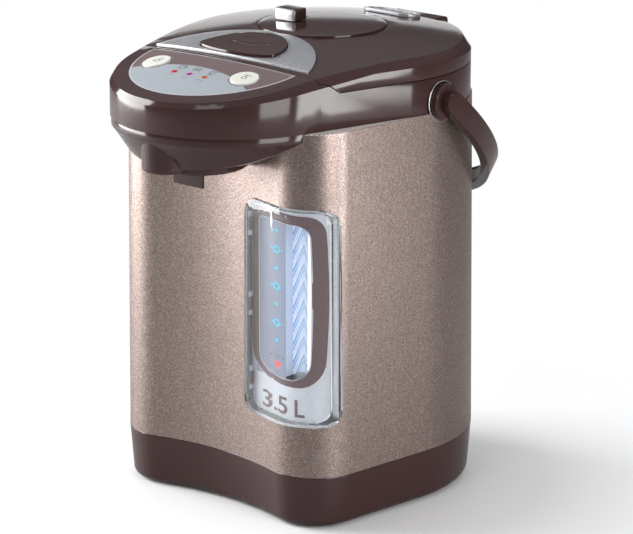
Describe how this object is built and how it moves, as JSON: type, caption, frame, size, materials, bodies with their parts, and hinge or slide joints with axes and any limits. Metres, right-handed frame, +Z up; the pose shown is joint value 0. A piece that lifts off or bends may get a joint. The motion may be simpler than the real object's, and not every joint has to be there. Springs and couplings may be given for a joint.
{
  "type": "electric thermo pot",
  "caption": "Electric thermo pot with a hinged lid, hand pump plate, overhanging pouring nose with push buttons, gauge window at a front corner and a carrying bail.",
  "frame": {"origin": "middle of the whole pot's box, on the plane the feet stand on", "axes": "+Z up, -Y towards the front where the nose and buttons are, +X to the pot's left side as it faces forward"},
  "size_m": [0.2222, 0.2826, 0.3173],
  "materials": {
    "brown_plastic": "gloss, dark chocolate brown",
    "shell_paint": "fine metallic taupe lacquer",
    "silver_plastic": "satin silver lacquer",
    "grey_plastic": "satin grey",
    "dark_plastic": "fine grain",
    "natural_plastic": "unpainted, heat-proof",
    "panel_film": "printed film",
    "button_cream": "satin",
    "lens_red": "clear red",
    "clear_plastic": "clear",
    "stripe_print": "printed stripes",
    "steel": "brushed",
    "heater_alloy": "cast",
    "pin_brass": "bright",
    "soft_rubber": "matt",
    "silicone": "translucent, matt",
    "board_green": "circuit board"
  },
  "bodies": {
    "pot": {"base_skirt": "brown_plastic", "bottom_plate": "dark_plastic", "rubber_feet": "soft_rubber", "base_screws": "steel", "power_inlet": "dark_plastic", "inlet_pins": "pin_brass", "outer_shell": "shell_paint", "gauge_cover": "clear_plastic", "gauge_plate": "silver_plastic", "gauge_ring": "brown_plastic", "stripe_card": "stripe_print", "level_tube": "clear_plastic", "inner_pot": "steel", "heater_plate": "heater_alloy", "thermostat": "dark_plastic", "pot_cradle": "natural_plastic", "mouth_ring": "natural_plastic", "motor_case": "steel", "pump_housing": "natural_plastic", "inlet_hose": "silicone", "riser_hose": "silicone", "spout_pipe": "silicone", "head_housing": "brown_plastic", "control_panel": "panel_film", "led_lenses": "lens_red", "control_board": "board_green", "nose_under": "brown_plastic", "spout_nozzle": "brown_plastic", "handle_bosses": "brown_plastic", "hinge_block": "brown_plastic", "hinge_pin": "steel", "power_board": "board_green", "power_parts": "dark_plastic"},
    "lid": {"lid_cover": "brown_plastic", "lid_liner": "natural_plastic", "lid_gasket": "silicone", "inner_lid_plate": "steel", "lid_trim": "silver_plastic", "vent_trim": "silver_plastic", "vent_insert": "grey_plastic", "latch_well": "brown_plastic", "latch_pin": "steel", "bellows": "soft_rubber"},
    "latch": {"latch_paddle": "brown_plastic"},
    "push_plate": {"press_plate": "brown_plastic"},
    "lock_slider": {"lock_knob": "silver_plastic"},
    "handle": {"carry_handle": "brown_plastic", "handle_liner": "grey_plastic"},
    "left_button": {"unlock_button": "button_cream"},
    "right_button": {"dispense_button": "button_cream"},
    "rotor": {"motor_rotor": "steel"},
    "impeller": {"pump_impeller": "natural_plastic"}
  },
  "joints": [
    {"name": "lid_hinge", "type": "hinge", "parent": "pot", "child": "lid", "pos_m": [0, 0.12065, 0.2916], "axis": [-1, 0, 0], "range_deg": [0, 80]},
    {"name": "latch_tilt", "type": "hinge", "parent": "lid", "child": "latch", "pos_m": [0, -0.03535, 0.2986], "axis": [1, 0, 0], "range_deg": [0, 6], "stiffness_Nm_per_rad": 0.3, "springref_deg": -5.73},
    {"name": "hand_pump", "type": "slide", "parent": "lid", "child": "push_plate", "axis": [0, 0, -1], "range_m": [0, 0.02], "stiffness_N_per_m": 500, "springref_m": -0.006, "deforming": ["bellows"]},
    {"name": "lock_slide", "type": "slide", "parent": "push_plate", "child": "lock_slider", "axis": [0, 1, 0], "range_m": [0, 0.009]},
    {"name": "handle_swing", "type": "hinge", "parent": "pot", "child": "handle", "pos_m": [0, 0.02945, 0.2696], "axis": [1, 0, 0], "range_deg": [0, 170]},
    {"name": "left_button_press", "type": "slide", "parent": "pot", "child": "left_button", "axis": [0.0689, 0.208, -0.9757], "range_m": [0, 0.0012], "stiffness_N_per_m": 600, "springref_m": -0.001},
    {"name": "right_button_press", "type": "slide", "parent": "pot", "child": "right_button", "axis": [-0.0689, 0.208, -0.9757], "range_m": [0, 0.0012], "stiffness_N_per_m": 600, "springref_m": -0.001},
    {"name": "motor_spin", "type": "hinge", "parent": "pot", "child": "rotor", "pos_m": [0, -0.03135, 0.027], "axis": [0, 0, 1], "continuous": true},
    {"name": "impeller_spin", "type": "hinge", "parent": "pot", "child": "impeller", "pos_m": [0, -0.03135, 0.029], "axis": [0, 0, 1], "continuous": true}
  ],
  "couplings": [
    {"joint": "impeller_spin", "follows": "motor_spin", "ratio": 1}
  ]
}
